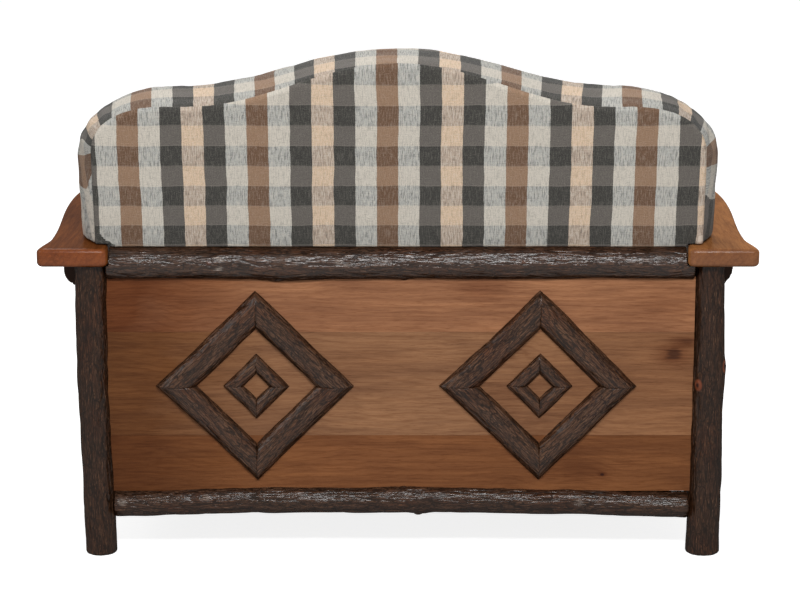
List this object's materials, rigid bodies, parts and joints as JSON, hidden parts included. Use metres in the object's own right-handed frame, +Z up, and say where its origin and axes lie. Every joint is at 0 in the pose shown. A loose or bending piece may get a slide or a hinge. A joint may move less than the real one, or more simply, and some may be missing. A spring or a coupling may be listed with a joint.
{
  "type": "log loveseat",
  "caption": "Rustic log loveseat with bark-on posts and rails, flat paddle arms, board panels with half-log diamonds, loose seat cushions and a plaid camel-shaped back.",
  "frame": {"origin": "on the floor under the middle of the log frame, halfway between the four posts", "axes": "+Z up, +Y towards the rear of the loveseat, +X towards the sitter's left hand"},
  "size_m": [1.42, 0.831, 1.0091],
  "materials": {
    "log_bark": "rough bark",
    "arm_wood": "satin",
    "panel_wood": "satin",
    "plain_pine": "sawn",
    "hardboard": "matt",
    "steel": "zinc",
    "webbing": "woven",
    "deck_cloth": "woven",
    "plaid_cloth": "slubby woven plaid"
  },
  "bodies": {
    "frame": {"post_rear_left": "log_bark", "post_rear_right": "log_bark", "post_front_left": "log_bark", "post_front_right": "log_bark", "rail_rear_top": "log_bark", "rail_rear_bottom": "log_bark", "rail_front_seat": "log_bark", "rail_front_bottom": "log_bark", "rail_side_top_left": "log_bark", "rail_side_top_right": "log_bark", "rail_side_bottom_left": "log_bark", "rail_side_bottom_right": "log_bark", "arm_left": "arm_wood", "arm_right": "arm_wood", "arm_dowels": "plain_pine", "rear_board_top": "panel_wood", "rear_board_middle": "panel_wood", "rear_board_bottom": "panel_wood", "side_panel_left": "panel_wood", "side_panel_right": "panel_wood", "front_panel": "panel_wood", "rear_left_large_diamond": "log_bark", "rear_left_small_diamond": "log_bark", "rear_right_large_diamond": "log_bark", "rear_right_small_diamond": "log_bark", "side_left_large_diamond": "log_bark", "side_left_small_diamond": "log_bark", "side_right_large_diamond": "log_bark", "side_right_small_diamond": "log_bark", "seat_board_front": "plain_pine", "seat_board_rear": "plain_pine", "seat_board_left": "plain_pine", "seat_board_right": "plain_pine", "seat_corner_blocks": "plain_pine", "seat_screws": "steel", "seat_straps_long": "webbing", "seat_straps_cross": "webbing", "deck_pad": "deck_cloth", "back_upright_left": "plain_pine", "back_upright_right": "plain_pine", "back_wing_left": "plain_pine", "back_wing_right": "plain_pine", "back_crest": "plain_pine", "back_base_rail": "plain_pine", "back_low_rail": "plain_pine", "back_straps": "webbing", "back_bolts": "steel", "back_nuts": "steel", "back_board": "hardboard", "back_padding": "plaid_cloth", "back_band": "plaid_cloth", "outside_back": "plaid_cloth"},
    "cushion_left": {"seat_cushion_left": "plaid_cloth"},
    "cushion_right": {"seat_cushion_right": "plaid_cloth"}
  },
  "joints": [
    {"name": "cushion_left_lift", "type": "slide", "parent": "frame", "child": "cushion_left", "axis": [0, 0, 1], "range_m": [0, 0.3]},
    {"name": "cushion_right_lift", "type": "slide", "parent": "frame", "child": "cushion_right", "axis": [0, 0, 1], "range_m": [0, 0.3]}
  ]
}
